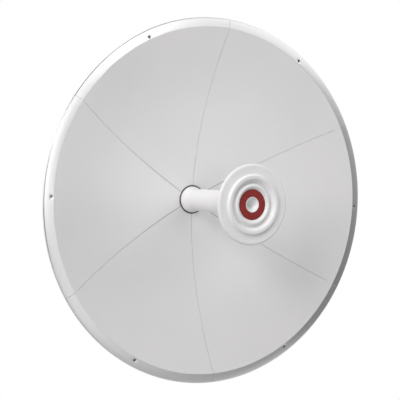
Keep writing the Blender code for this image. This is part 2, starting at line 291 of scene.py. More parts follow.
# %% [markdown]
# ## White powder coat
#
# The petals are sheet metal under a white powder coat. Baked powder never lies quite flat: it has
# an orange-peel surface with waves of a few millimetres, and its tone drifts a little over a
# hand's width. A faint line of dust gathers along each seam. Near the hub the seam lines carry
# painted shade, darker in the slanting seams than in the upright ones. The bowl carries painted
# light too: it is painted lighter towards the hub, and the upper petals are painted lighter and
# the lower ones darker. The flat rim flange is different. The press rolls it smooth and its coat
# is thin, so that the metal's sheen comes through and the flange reflects the room. That is why
# the rim runs from white to grey while the bowl stays even. The right petal's flange is painted
# darker, a painted shade, so the tone steps at its seams, and a dark line is painted where the
# flanges meet.

# %% Where the petals' seams and flange lie
RIM_FLANGE_START = 0.3083
PETAL_ANGLE = pi / 3

powder, place = start_finish("white_powder_coat", IOR=1.5)
radius = from_axis(place)
angle = part_of(place, "Z").math("ARCTAN2", part_of(place, "X"))
off_middle = angle.math("MODULO", PETAL_ANGLE).math("ABSOLUTE")
seam_distance = (off_middle - PETAL_ANGLE / 2).math("ABSOLUTE") * radius
at_seam = seam_distance.between(0.0004, 0.0012, 1.0, 0.0)
flange = radius.between(RIM_FLANGE_START - 0.0004, RIM_FLANGE_START + 0.0006)
# Painted shade: this mask marks the right petal, whose flange is painted darker.
painted_shade_right_petal = angle.math("ABSOLUTE").between(
    PETAL_ANGLE / 2 - 0.001, PETAL_ANGLE / 2 + 0.001, 1.0, 0.0
)
print("a seam every", round(PETAL_ANGLE / radians(1)), "degrees")

# %% The petals' finish
drift = noise(place, 6.0, 3.0)
peel = noise(place, 330.0, 2.0, 0.6)
grain = noise(place, 1500.0, 1.0)
dust = seam_distance.between(0.0, 0.009, 1.0, 0.0) * noise(place, 70.0, 3.0).between(0.35, 0.7)

tone = mixed(drift.between(0.3, 0.7), (0.711, 0.703, 0.714), (0.739, 0.725, 0.730))
tone = mixed(grain.between(0.62, 0.8) * 0.05, tone, (0.5, 0.5, 0.5))
tone = mixed(dust * 0.05, tone, (0.40, 0.38, 0.35))
# Painted light: the bowl's colour is painted lighter towards the hub.
painted_light_at_hub = radius.between(0.03, 0.30, 1.0, 0.0)
tone = mixed(painted_light_at_hub * 0.6, tone, (0.88, 0.88, 0.88))
# Painted light and shade: the upper petals are painted lighter and the lower ones darker.
painted_light_top_shade_bottom = part_of(place, "Z").between(-0.05, 0.05, 0.972, 1.040)
tone = Signal.node(
    place.tree, "VectorMath", {"operation": "SCALE"}, {0: tone, "Scale": painted_light_top_shade_bottom}, "Vector"
)
# Painted shade: the seam lines near the hub are painted darker, more in the slanting seams than in
# the upright ones.
slant = part_of(place, "X").math("ABSOLUTE") * 8.0
painted_seam_shade = at_seam * radius.between(0.05, 0.20, 1.0, 0.0)
tone = mixed(painted_seam_shade * slant.between(0.0, 0.4, 0.2, 0.5), tone, (0.22, 0.21, 0.20))
# The right petal's flange is painted darker, a painted shade, and a dark line is painted where the
# flanges meet.
flange_tone_with_painted_shade = mixed(painted_shade_right_petal, (0.692, 0.689, 0.692), (0.620, 0.617, 0.620))
tone = mixed(flange, tone, mixed(at_seam * 0.22, flange_tone_with_painted_shade, (0.25, 0.24, 0.24)))
coat_roughness = (drift * 0.10 + peel * 0.06 + 0.48) * (1.0 - flange)
feed(
    powder,
    Base_Color=tone,
    Metallic=flange,
    Roughness=coat_roughness + (drift * 0.06 + 0.27) * flange,
    Normal=bumped(peel * (1.0 - flange * 0.8), 0.00035, 0.22),
)
print("white powder coat:", len(powder.node_tree.nodes), "nodes")

# %% [markdown]
# ## Painted casting
#
# The hub parts are cast aluminium, shot-blasted and painted light grey. The skin of a casting is
# pebbled, and the paint fills only the finest pits. The rear face of the mount flange is
# different: it is turned flat on a lathe after painting, so it is bare metal with fine rings
# round the axis.

# %% The castings' finish
casting, place = start_finish("painted_casting", IOR=1.45)
pit_inputs = {"Vector": place, "Scale": 420.0, "Smoothness": 0.8}
pebbles = Signal.node(
    place.tree, "TexVoronoi", {"feature": "SMOOTH_F1"}, pit_inputs, "Distance"
)
waves = noise(place, 45.0, 3.0)
radius = from_axis(place)
machined = part_of(place, "Y").between(-0.00035, -0.00015)
LATHE_FEED = 0.0007
rings = (radius * (2 * pi / LATHE_FEED)).math("SINE") * 0.5 + 0.5
relief = (pebbles + waves * 0.8) * (1.0 - machined) + rings * machined * 0.15

paint_tone = mixed(waves.between(0.3, 0.7), (0.56, 0.57, 0.58), (0.62, 0.625, 0.63))
paint_tone = mixed(noise(place, 900.0).between(0.64, 0.8) * 0.18, paint_tone, (0.35, 0.35, 0.35))
bare_tone = mixed(rings * 0.6 + noise(place, 30.0) * 0.4, (0.40, 0.41, 0.42), (0.58, 0.58, 0.59))
feed(
    casting,
    Base_Color=mixed(machined, paint_tone, bare_tone),
    Metallic=machined * 0.95,
    Roughness=(waves * 0.12 + 0.46) * (1.0 - machined * 0.35),
    Normal=bumped(relief, 0.0005, 0.35),
)
print("painted casting:", len(casting.node_tree.nodes), "nodes")

# %% [markdown]
# ## Moulded plastic
#
# The feed tube, its cone and the ringed disc are moulded in a white plastic that stands sunlight.
# Such a moulding is satin, with a very fine even spark-eroded texture, and its white is a touch
# warmer than the powder coat. Faint clouding follows the way the melt flowed.

# %% The plastic's finish
plastic, place = start_finish("white_moulded_plastic", IOR=1.49)
texture = noise(place, 1300.0, 2.0, 0.7)
flow = noise(place, 22.0, 2.0)
white = mixed(flow.between(0.3, 0.7), (0.794, 0.783, 0.788), (0.823, 0.812, 0.815))
white = mixed(texture.between(0.6, 0.85) * 0.06, white, (0.6, 0.6, 0.6))
feed(
    plastic,
    Base_Color=white,
    Roughness=flow * 0.08 + texture * 0.08 + 0.36,
    Normal=bumped(texture, 0.00008, 0.35),
)
print("moulded plastic:", len(plastic.node_tree.nodes), "nodes")

# %% [markdown]
# ## Red silicone and black rubber
#
# The flat red ring is a silicone seal: dull and slightly mottled, with painted shade where its
# edges turn down. The gasket at the foot of the tube is black rubber with a grey bloom. Both get
# fine grain in colour and bump. The red ring's painted dark edges are masked by the distance from
# the dish axis.

# %% The seals' finishes
silicone, place = start_finish("red_silicone", IOR=1.41)
radius = from_axis(place)
mottle = noise(place, 260.0, 3.0, 0.6)
# Painted shade on the red ring's edges, where they turn down.
painted_edge_shade = radius.between(0.0246, 0.0254) + radius.between(0.0134, 0.0142, 1.0, 0.0)
red = mixed(mottle.between(0.3, 0.75), (0.225, 0.017, 0.016), (0.300, 0.030, 0.028))
feed(
    silicone,
    Base_Color=mixed(painted_edge_shade * 0.65, red, (0.07, 0.008, 0.008)),
    Roughness=mottle * 0.2 + 0.45,
    Normal=bumped(mottle, 0.00012, 0.4),
)

rubber, place = start_finish("black_rubber", IOR=1.5)
bloom = noise(place, 120.0, 4.0, 0.65)
feed(
    rubber,
    Base_Color=mixed(bloom.between(0.35, 0.8), (0.030, 0.030, 0.032), (0.080, 0.080, 0.082)),
    Roughness=bloom * 0.25 + 0.5,
    Normal=bumped(noise(place, 1100.0), 0.0001, 0.4),
)
print("red silicone and black rubber ready")

# %% [markdown]
# ## Metals
#
# The bolts are zinc plated: grey, a little cloudy, with yellow and blue hints. The cable jacks
# are nickel plated brass, brighter and warmer. Their pins are gilded, and a ring of white
# insulator holds each pin. One maker function serves all the metals, because they differ only in
# tone.

# %% The metals' finishes
def plated(name, dark, light, rough):
    """A plated metal whose tone clouds from dark to light."""
    metal, where = start_finish(name, Metallic=1.0)
    cloud = noise(where, 160.0, 3.0, 0.6)
    scratches = noise(where, 2400.0, 2.0)
    return feed(
        metal,
        Base_Color=mixed(cloud.between(0.3, 0.7), dark, light),
        Roughness=cloud * 0.16 + scratches * 0.10 + rough,
        Normal=bumped(scratches, 0.00004, 0.3),
    )


zinc = plated("zinc_plate", (0.52, 0.53, 0.55), (0.70, 0.69, 0.65), 0.28)
nickel = plated("nickel_plate", (0.60, 0.57, 0.52), (0.74, 0.71, 0.65), 0.16)
gilt = plated("gilt_contact", (0.75, 0.52, 0.20), (0.90, 0.66, 0.30), 0.18)

insulator, place = start_finish("white_insulator", IOR=1.38)
milk = noise(place, 300.0)
feed(
    insulator,
    Base_Color=mixed(milk, (0.78, 0.77, 0.74), (0.86, 0.85, 0.82)),
    Roughness=milk * 0.2 + 0.3,
)
print("metals ready")

# %% [markdown]
# ## Petals
#
# A petal is one sixth of the reflector. Its bowl is part of a paraboloid, so that waves from the
# whole bowl meet at one point. The press lifts its last 45 mm by up to 1 mm. At the edge the
# sheet bends over a crest into a nearly flat rim flange, 17 mm wide, and then turns back in a
# small lip. Along its two straight edges the sheet is folded straight back, so that neighbours
# can be bolted together where nothing shows.
#
# The front surface is spun from a line of points, trimmed at the seams and folded. The thickness
# comes from a Solidify modifier, and a Bevel modifier takes the sharpness off the folds.

# %% Sizes of the reflector
PETALS = 6
RIM_RADIUS = 0.325
BOWL_EDGE, CREST_RADIUS = 0.3095, 0.3082
FOCAL_LENGTH = 0.2204
APEX_HEIGHT = 0.056
SHEET = 0.0016
SEAM_GAP, SEAM_STRIP = 0.0004, 0.0010
FLANGE_DROP = tan(radians(5))
LIP_DEPTH = 0.007
CENTER_HOLE = 0.0273
FOLD_START, FOLD_END, FOLD_TAPER = 0.095, 0.300, 0.030
FOLD_DEPTH, FOLD_END_DEPTH = 0.014, 0.005
RIM_HOLE_CIRCLE, RIM_HOLE_RADIUS = 0.313, 0.0025
HOLE_FACE_END = 0.3165
RIM_PLANE = APEX_HEIGHT + BOWL_EDGE**2 / (4 * FOCAL_LENGTH)
LIFT_START, LIFT = 0.262, 0.001


def bowl_height(radius):
    """Height of the bowl's front surface: a paraboloid, and the lift near its edge."""
    lifted = max(0.0, (radius - LIFT_START) / (CREST_RADIUS - LIFT_START)) ** 2
    return APEX_HEIGHT + radius**2 / (4 * FOCAL_LENGTH) + LIFT * lifted


def flange_height(radius):
    """Height of the flange's front surface, which falls a little towards the rim."""
    return RIM_PLANE - (radius - BOWL_EDGE) * FLANGE_DROP


def petal_turn(number, size=4):
    """The turn from the first petal's place to another petal's."""
    return Matrix.Rotation(number * 2 * pi / PETALS, size, "Z")


print("the rim lies", round(RIM_PLANE * 1000, 1), "mm in front of the mount face")

# %% The line of a petal's front surface
INNER_STEPS = [0.0405, 0.054, 0.0675, 0.081]
CREST_BEND, RIM_BEND = 0.0025, 0.0022


def petal_line():
    """Points from the centre hole up the bowl, over the crest and flange, and down the lip."""
    radii = [CENTER_HOLE] + INNER_STEPS
    radii += [FOLD_START + (FOLD_END - FOLD_START) * step / 24 for step in range(25)]
    edge = softened(
        [
            (FOLD_END, bowl_height(FOLD_END), 0),
            (CREST_RADIUS, flange_height(CREST_RADIUS), CREST_BEND),
            (HOLE_FACE_END, flange_height(HOLE_FACE_END), 0),
            (RIM_RADIUS, flange_height(RIM_RADIUS), RIM_BEND),
            (RIM_RADIUS, flange_height(RIM_RADIUS) - LIP_DEPTH, 0),
        ],
        steps=7,
    )
    return [(radius, bowl_height(radius)) for radius in radii] + edge[1:]


print("a petal's line has", len(petal_line()), "points")

# %% [markdown]
# The hole in the rim flange isn't cut with a Boolean. The one flange face that holds it is taken
# out, its border gets as many vertices as the hole's circle, and the two loops are bridged. That
# leaves clean quads, and the Solidify modifier then gives the hole its wall.
#
# Beside each seam a narrow strip of faces is cut off before the fold. Smooth shading bends the
# light towards a rounded edge over the whole of the last face, so without the strip the fold
# would seem a centimetre wide.

# %% Cut the hole, fold the seams
def open_rim_hole(shape):
    """Opens the round hole in the flange face at the middle of the petal."""
    middle = Vector((RIM_HOLE_CIRCLE, 0, flange_height(RIM_HOLE_CIRCLE)))
    face = min(shape.faces, key=lambda f: (f.calc_center_median() - middle).length)
    border = face.edges[:]
    bmesh.ops.delete(shape, geom=[face], context="FACES_ONLY")
    split = bmesh.ops.bisect_edges(shape, edges=border, cuts=5, edge_percents={})
    border = [e for e in split["geom_split"] if isinstance(e, bmesh.types.BMEdge)]
    tilt = Matrix.Rotation(atan(FLANGE_DROP), 4, "Y")
    circle = bmesh.ops.create_circle(
        shape, segments=24, radius=RIM_HOLE_RADIUS, matrix=Matrix.Translation(middle) @ tilt
    )
    ring = dict.fromkeys(edge for vert in circle["verts"] for edge in vert.link_edges)
    bmesh.ops.bridge_loops(shape, edges=[e for e in border if e.is_boundary] + list(ring))


def fold_back(shape, side):
    """Trims one straight edge of the petal to its seam and folds the sheet straight back there."""
    across = Vector((-sin(pi / PETALS), side * cos(pi / PETALS), 0))
    for inset in (SEAM_STRIP, 0):
        everything = shape.verts[:] + shape.edges[:] + shape.faces[:]
        seam = across * (-SEAM_GAP / 2 - inset)
        bmesh.ops.bisect_plane(
            shape, geom=everything, plane_co=seam, plane_no=across, clear_outer=inset == 0
        )
    slack = 0.0001
    edges = []
    for edge in shape.edges:
        radii = [vert.co.xy.length for vert in edge.verts]
        on_seam = all(abs(vert.co.dot(across)) < SEAM_GAP for vert in edge.verts)
        in_reach = min(radii) > FOLD_START - slack and max(radii) < FOLD_END + slack
        if edge.is_boundary and on_seam and in_reach:
            edges.append(edge)
    folded = bmesh.ops.extrude_edge_only(shape, edges=edges)
    for vert in folded["geom"]:
        if isinstance(vert, bmesh.types.BMVert):
            from_end = min(vert.co.xy.length - FOLD_START, FOLD_END - vert.co.xy.length)
            share = min(max(from_end / FOLD_TAPER, 0), 1)
            vert.co.z -= FOLD_END_DEPTH + (FOLD_DEPTH - FOLD_END_DEPTH) * share


def petal_surface():
    """The front surface of the petal that is centred on +X of the bench."""
    shape = bmesh.new()
    start = petal_turn(-0.5, 3)
    line = [start @ Vector((radius, 0, height)) for radius, height in petal_line()]
    points = [shape.verts.new(point) for point in line]
    edges = [shape.edges.new(pair) for pair in zip(points, points[1:])]
    bmesh.ops.spin(shape, geom=points + edges, axis=(0, 0, 1), angle=2 * pi / PETALS, steps=25)
    open_rim_hole(shape)
    for side in (1, -1):
        fold_back(shape, side)
    close_up(shape)
    if sum(face.normal.z * face.calc_area() for face in shape.faces) < 0:
        bmesh.ops.reverse_faces(shape, faces=shape.faces[:])
    return shape


print("one petal's front has", len(petal_surface().faces), "faces")

# %% Make the six petals
SHARP_ANGLE = radians(50)


def round_edges(piece, width, segments=2):
    """Rounds a piece's sharp edges with a Bevel modifier."""
    bevel = piece.modifiers.new("soft_edges", "BEVEL")
    bevel.width, bevel.segments = width, segments
    bevel.limit_method, bevel.angle_limit = "ANGLE", SHARP_ANGLE


for number in range(PETALS):
    surface = petal_surface()
    turn = petal_turn(number, 3)
    bmesh.ops.rotate(surface, verts=surface.verts[:], cent=(0, 0, 0), matrix=turn)
    name = f"petal_{number + 1}"
    petal = finish_piece(f"pressed_{name}", surface, powder, [name])
    thicken = petal.modifiers.new("sheet_thickness", "SOLIDIFY")
    thicken.thickness = SHEET
    thicken.offset = -1
    thicken.use_even_offset = True
    round_edges(petal, 0.0003)
print("six petals,", triangles["pressed_petal_1"], "triangles each before their thickness")

# %% [markdown]
# ## Closed nuts behind the rim holes
#
# A thin sheet can't hold a screw, so each rim hole has a threaded nut pressed in from behind. The
# nut is closed at its far end to keep water out, which is why the holes look dark from the front.

# %% Rim nuts
def rim_nut_line():
    """Half the section of a closed press nut, from its bore's mouth round to the floor."""
    return softened(
        [
            (0.0021, 0.0, 0), (0.0042, 0.0, 0), (0.0042, -0.0009, 0),
            (0.0034, -0.0009, 0), (0.0034, -0.0085, 0.0008), (0.0, -0.0085, 0),
            (0.0, -0.0075, 0), (0.0021, -0.0075, 0),
        ],
        steps=2,
    )


rim_nuts = bmesh.new()
nut_seat = flange_height(RIM_HOLE_CIRCLE) - SHEET - 0.0001
nut_place = Matrix.Translation((RIM_HOLE_CIRCLE, 0, nut_seat))
nut_lean = Matrix.Rotation(atan(FLANGE_DROP), 4, "Y")
for number in range(PETALS):
    nut = turned(rim_nut_line(), steps=20)
    nut.transform(petal_turn(number) @ nut_place @ nut_lean)
    single = bpy.data.meshes.new("rim_nut")
    nut.to_mesh(single)
    nut.free()
    rim_nuts.from_mesh(single)
    bpy.data.meshes.remove(single)
finish_piece("rim_nuts", rim_nuts, zinc)
print("rim nuts:", triangles["rim_nuts"], "triangles")

# %% [markdown]
# ## Bolts through the folds
#
# Four hexagon bolts hold each pair of folds together, with a washer under the head and under the
# nut. They lie across the seam, behind the bowl, where only the back view shows them. A bolt is a
# small shape that is repeated 24 times, so it is kept to a few dozen faces: six-sided prisms with
# one beveled rim, and round washers of sixteen sides.

# %% Hexagons and rounds
def add_hexagon(shape, at, across_flats, low, high):
    """A hexagon prism between two heights of its own axis, with its outer rim beveled."""
    corner = across_flats / 2 / cos(pi / 6)
    made = bmesh.ops.create_cone(
        shape, cap_ends=True, segments=6, radius1=corner, radius2=corner, depth=high - low,
        matrix=at @ Matrix.Translation((0, 0, (low + high) / 2)),
    )
    axis = at.to_3x3() @ Vector((0, 0, 1))
    top = max((v.co - at.translation).dot(axis) for v in made["verts"])
    edges = dict.fromkeys(
        edge for vert in made["verts"] for edge in vert.link_edges
        if all(abs((v.co - at.translation).dot(axis) - top) < 0.00001 for v in edge.verts)
    )
    bmesh.ops.bevel(
        shape, geom=list(edges), offset=0.0005,
        affect="EDGES", segments=1, profile=0.5, material=-1,
    )


def add_round(shape, at, radius, low, high, sides=16, tip=None):
    """A short cylinder between two heights of its own axis, narrowed to tip at its far end."""
    bmesh.ops.create_cone(
        shape, cap_ends=True, segments=sides, radius1=radius, radius2=tip or radius,
        depth=high - low, matrix=at @ Matrix.Translation((0, 0, (low + high) / 2)),
    )


print("fastener helpers ready")

# %% Fold bolts
BOLT_REACHES, BOLT_DEPTH = (0.130, 0.178, 0.226, 0.270), 0.0082
WASHER_RADIUS, ACROSS_FLATS = 0.0048, 0.008

joint_bolts = bmesh.new()
skin = SEAM_GAP / 2 + SHEET
washer_top = skin + 0.0009
for number in range(PETALS):
    turn = petal_turn(number + 0.5)
    for reach in BOLT_REACHES:
        middle = Matrix.Translation((reach, 0, bowl_height(reach) - BOLT_DEPTH))
        head_side = turn @ middle @ Matrix.Rotation(-pi / 2, 4, "X")
        nut_side = turn @ middle @ Matrix.Rotation(pi / 2, 4, "X")
        add_round(joint_bolts, head_side, WASHER_RADIUS, skin, washer_top)
        add_hexagon(joint_bolts, head_side, ACROSS_FLATS, washer_top, skin + 0.0042)
        add_round(joint_bolts, nut_side, WASHER_RADIUS, skin, washer_top)
        add_hexagon(joint_bolts, nut_side, ACROSS_FLATS, washer_top, skin + 0.0047)
        add_round(joint_bolts, nut_side, 0.0024, skin + 0.0046, skin + 0.0072, 12, 0.0019)
finish_piece("joint_bolts", joint_bolts, zinc)
print("24 joint bolts:", triangles["joint_bolts"], "triangles")

# %% [markdown]
# ## Hub plate and hub tube
#
# The petals lie on a round cast plate with a pocket in its middle for the feed. A short tube
# joins the plate to the mount flange. Both are turned shapes. The real ones are cast, so the line
# gets generous bends where the wall changes direction, and the tube flares a little at both ends
# as a casting's fillets do.

# %% Cast plate and tube
PLATE_RADIUS, PLATE_FOOT, PLATE_FLAT, PLATE_REAR = 0.085, 0.076, 0.060, 0.046
TUBE_OUTER, TUBE_BORE = 0.050, 0.044
POCKET, POCKET_FLOOR = 0.0273, 0.050
MOUNT_THICKNESS = 0.008
GAP = 0.0003


def behind_bowl(radius, distance):
    """Height of the surface that lies this far behind the bowl, measured square to it."""
    return bowl_height(radius) - distance / cos(atan(radius / (2 * FOCAL_LENGTH)))


seat_radii = [POCKET + (PLATE_RADIUS - POCKET) * step / 8 for step in range(9)]
seat = [(radius, behind_bowl(radius, SHEET + GAP)) for radius in seat_radii]
plate_edge = softened(
    [
        (seat[-2][0], seat[-2][1], 0),
        (PLATE_RADIUS, seat[-1][1], 0.0010),
        (PLATE_RADIUS, seat[-1][1] - 0.006, 0.0015),
        (PLATE_FOOT, PLATE_REAR, 0.0020),
        (PLATE_FLAT, PLATE_REAR, 0),
    ]
)
plate_line = [(0.0, POCKET_FLOOR), (POCKET, POCKET_FLOOR)]
plate_line += seat[:-1] + plate_edge[1:] + [(0.0, PLATE_REAR)]
plate = turned(plate_line, closed=False)
finish_piece("cast_hub_plate", plate, casting, ["hub_plate"])

FILLET = 0.0035
tube_front, tube_rear = PLATE_REAR - GAP, MOUNT_THICKNESS + GAP
tube_line = softened(
    [
        (TUBE_OUTER + FILLET, tube_front, 0), (TUBE_OUTER, tube_front - FILLET, 0.004),
        (TUBE_OUTER, tube_rear + FILLET, 0.004), (TUBE_OUTER + FILLET, tube_rear, 0),
        (TUBE_BORE, tube_rear, 0), (TUBE_BORE, tube_front, 0),
    ]
)
finish_piece("cast_hub_tube", turned(tube_line), casting, ["hub_tube"])
print("hub plate:", triangles["cast_hub_plate"], "triangles")
print("hub tube:", triangles["cast_hub_tube"], "triangles")

# %% [markdown]
# ## Gussets
#
# Six flat webs stiffen the joint between tube and flange. Each is an outline with a hollow outer
# edge. The outline becomes one face, the face is extruded, and a bevel rounds the cast edges.

# %% Cast gussets
GUSSET_THICKNESS, GUSSET_WAIST = 0.005, 0.060
GUSSET_REAR, GUSSET_FRONT = 0.071, 0.074


def extruded(shape, faces, way):
    """Pulls flat faces out into a closed solid."""
    grown = bmesh.ops.extrude_face_region(shape, geom=faces)
    moved = [vert for vert in grown["geom"] if isinstance(vert, bmesh.types.BMVert)]
    bmesh.ops.translate(shape, verts=moved, vec=way)
    return close_up(shape)


weld = TUBE_OUTER - 0.001
gusset_outline = softened(
    [
        (weld, tube_rear, 0), (GUSSET_REAR, tube_rear, 0), (GUSSET_REAR, tube_rear + 0.005, 0.002),
        (GUSSET_WAIST, 0.022, 0.008), (GUSSET_WAIST, 0.032, 0.008),
        (GUSSET_FRONT, tube_front - 0.005, 0.002), (GUSSET_FRONT, tube_front, 0),
        (weld, tube_front, 0),
    ],
    steps=4,
)
for number in range(PETALS):
    web = bmesh.new()
    side = -GUSSET_THICKNESS / 2
    corners = [web.verts.new((radius, side, height)) for radius, height in gusset_outline]
    extruded(web, [web.faces.new(corners)], (0, GUSSET_THICKNESS, 0))
    web.transform(petal_turn(number))
    name = f"gusset_{number + 1}"
    gusset = finish_piece(f"cast_{name}", web, casting, [f"hub_{name}"])
    round_edges(gusset, 0.0009)
print("six gussets,", triangles["cast_gusset_1"], "triangles each before their bevel")

# %% [markdown]
# ## Mount flange
#
# The flange is a disc, 150 mm across and 8 mm thick, with six holes for M8 bolts. A disc with
# holes can be drawn as loops of edges in one plane: `triangle_fill` closes the area between them.
# Extruding it gives the holes their walls, and a bevel breaks all the edges as a lathe hand
# would.

# %% Turned mount flange
MOUNT_RADIUS, BOLT_CIRCLE, BOLT_HOLE = 0.075, 0.0625, 0.0045

flange_plate = bmesh.new()
bmesh.ops.create_circle(flange_plate, segments=120, radius=MOUNT_RADIUS)
for number in range(PETALS):
    angle = (number + 0.5) * 2 * pi / PETALS
    spot = Matrix.Translation((BOLT_CIRCLE * cos(angle), BOLT_CIRCLE * sin(angle), 0))
    bmesh.ops.create_circle(flange_plate, segments=28, radius=BOLT_HOLE, matrix=spot)
bmesh.ops.triangle_fill(flange_plate, use_beauty=True, edges=flange_plate.edges[:])
extruded(flange_plate, flange_plate.faces[:], (0, 0, MOUNT_THICKNESS))
mount = finish_piece("turned_mount_flange", flange_plate, casting, ["mount_flange"])
round_edges(mount, 0.0006)
print("mount flange:", triangles["turned_mount_flange"], "triangles before its bevel")

# %% [markdown]
# ## Studs that hold the petals
#
# Two studs a petal come through the hub plate, each with a washer and a nut on the rear. They
# stand between the gussets, so a socket wrench can reach them.

# %% Hub nuts
STUD_CIRCLE, STUD_LEAN = 0.0660, 17

hub_nuts = bmesh.new()
stud_place = Matrix.Translation((STUD_CIRCLE, 0, PLATE_REAR)) @ Matrix.Rotation(pi, 4, "X")
for number in range(PETALS):
    for lean in (-STUD_LEAN, STUD_LEAN):
        rearward = petal_turn(number) @ Matrix.Rotation(radians(lean), 4, "Z") @ stud_place
        add_round(hub_nuts, rearward, 0.0050, 0.0, 0.0010)
        add_hexagon(hub_nuts, rearward, ACROSS_FLATS, 0.0010, 0.0050)
        add_round(hub_nuts, rearward, 0.0025, 0.0049, 0.0085, 12, 0.0020)
finish_piece("hub_nuts", hub_nuts, zinc)
print("12 hub nuts:", triangles["hub_nuts"], "triangles")

# %% [markdown]
# ## Cable jacks
#
# The two feed cables screw onto threaded jacks under a block on the hub tube. A jack is turned: a
# hexagon shoulder, a barrel with a fine thread, and a deep bore with a pin in its middle. The
# thread is drawn as rings instead of a helix, which no one can tell apart at this size.

# %% Jack block
BLOCK_HALF, BLOCK_DROP = 0.0215, 0.056
BLOCK_REAR, BLOCK_FRONT = 0.014, 0.040

seat_radius = TUBE_OUTER + GAP
corner_drop = (seat_radius**2 - BLOCK_HALF**2) ** 0.5
half_wrap = atan(BLOCK_HALF / corner_drop)
saddle = [-pi / 2 + half_wrap - 2 * half_wrap * step / 16 for step in range(17)]
block_outline = [(-BLOCK_HALF, -BLOCK_DROP), (BLOCK_HALF, -BLOCK_DROP)]
block_outline += [(seat_radius * cos(angle), seat_radius * sin(angle)) for angle in saddle]
block = bmesh.new()
face = block.faces.new([block.verts.new((*corner, BLOCK_REAR)) for corner in block_outline])
extruded(block, [face], (0, 0, BLOCK_FRONT - BLOCK_REAR))
jack_block = finish_piece("cast_jack_block", block, casting, ["jack_block"])
round_edges(jack_block, 0.0016, 3)
print("jack block", round(2000 * BLOCK_HALF), "mm wide")

# %% Sections of a jack
JACK_LENGTH = 0.016
THREAD_ROOT, THREAD_CREST = 0.0073, 0.0079
THREAD_START, THREAD_END, THREAD_PITCH = -0.0040, -0.0142, 0.00106
BORE_RADIUS, BORE_DEPTH = 0.0052, 0.011


def barrel_line():
    """The barrel's section: down the threaded outside, round the mouth and back up the bore."""
    line = [(0.0, -GAP), (0.0070, -GAP), (0.0070, -0.0034)]
    height = THREAD_START
    while height > THREAD_END:
        line += [(THREAD_ROOT, height), (THREAD_CREST, height - 0.0003)]
        line += [(THREAD_CREST, height - 0.00045), (THREAD_ROOT, height - 0.00075)]
        height -= THREAD_PITCH
    mouth = -GAP - JACK_LENGTH
    line += [(0.0074, -0.0150), (0.0074, mouth + 0.0004), (0.0070, mouth), (0.0056, mouth)]
    line += [(BORE_RADIUS, mouth + 0.0005), (BORE_RADIUS, mouth + BORE_DEPTH)]
    return line + [(0.0, mouth + BORE_DEPTH)]


def sleeve(inner, outer, high, low, steps):
    """A short tube between two heights, with a soft outer edge at its lower end."""
    corners = [(inner, high, 0), (outer, high, 0), (outer, low, 0.0004), (inner, low, 0)]
    return turned(softened(corners), steps)


print("the barrel's section has", len(barrel_line()), "points")

# %% Jacks, insulators and pins
JACK_OFFSET = 0.011
jack_middle = (BLOCK_FRONT + BLOCK_REAR) / 2


def put_jack(shape, across):
    """Stands a shape that was built pointing down the bench axis under the jack block."""
    place = Matrix.Translation((across, -BLOCK_DROP, jack_middle))
    shape.transform(place @ Matrix.Rotation(-pi / 2, 4, "X"))
    return shape


for number, across in enumerate((-JACK_OFFSET, JACK_OFFSET)):
    barrel = turned(barrel_line(), steps=48, closed=False)
    add_hexagon(barrel, Matrix.Rotation(pi, 4, "X"), 0.0163, GAP, GAP + 0.0030)
    put_jack(close_up(barrel), across)
    jack_node = f"cable_jack_{number + 1}"
    finish_piece(f"jack_barrel_{number + 1}", barrel, nickel, [jack_node], crease=25)
    bead = sleeve(0.0018, 0.0051, -0.0062, -0.0078, steps=32)
    finish_piece(f"jack_insulator_{number + 1}", put_jack(bead, across), insulator)
    pin = sleeve(0.0008, 0.0017, -0.0055, -0.0118, steps=20)
    finish_piece(f"jack_pin_{number + 1}", put_jack(pin, across), gilt)
print("jacks:", triangles["jack_barrel_1"], "triangles a barrel")

# %% [markdown]
# ## Gasket and feed tube
#
# Where the tube goes through the bowl, a black rubber gasket fills the hole. It stands a
# millimetre proud with two soft lips, which the photograph shows as a thin double line. The tube
# flares at its foot and is plain and straight above.

# %% Gasket
GASKET_OUTER, FOOT_RADIUS, TUBE_RADIUS = 0.027, 0.0252, 0.0206
GASKET_FRONT, TUBE_REAR, TUBE_FRONT = 0.058, 0.0503, 0.235

gasket_inner = FOOT_RADIUS + GAP
gasket_line = softened(
    [
        (GASKET_OUTER, GASKET_FRONT, 0.0003), (GASKET_OUTER, TUBE_REAR, 0),
        (gasket_inner, TUBE_REAR, 0), (gasket_inner, GASKET_FRONT, 0.0001),
        (gasket_inner + 0.0005, GASKET_FRONT, 0.0001),
        (gasket_inner + 0.0007, GASKET_FRONT - 0.0006, 0.0001),
        (gasket_inner + 0.0009, GASKET_FRONT, 0.0001),
    ],
    steps=3,
    closed=True,
)
finish_piece("foot_gasket", turned(gasket_line), rubber, ["feed_gasket"])
print("gasket:", triangles["foot_gasket"], "triangles")

# %% Feed tube
FLARE_FOOT, FLARE_TOP, TUBE_CHAMFER = 0.0575, 0.084, 0.0006

flare = []
for step in range(13):
    share = step / 12
    radius = TUBE_RADIUS + (FOOT_RADIUS - TUBE_RADIUS) * share**2
    flare.append((radius, FLARE_TOP + (FLARE_FOOT - FLARE_TOP) * share))
feed_line = [(0.0, TUBE_FRONT), (TUBE_RADIUS - TUBE_CHAMFER, TUBE_FRONT)]
feed_line += [(TUBE_RADIUS, TUBE_FRONT - drop) for drop in (TUBE_CHAMFER, 0.05, 0.10)]
feed_line += flare + [(FOOT_RADIUS, TUBE_REAR), (0.0, TUBE_REAR)]
feed_tube = turned(feed_line, closed=False)
finish_piece("moulded_feed_tube", feed_tube, plastic, ["feed_tube"])
print("feed tube:", triangles["moulded_feed_tube"], "triangles")

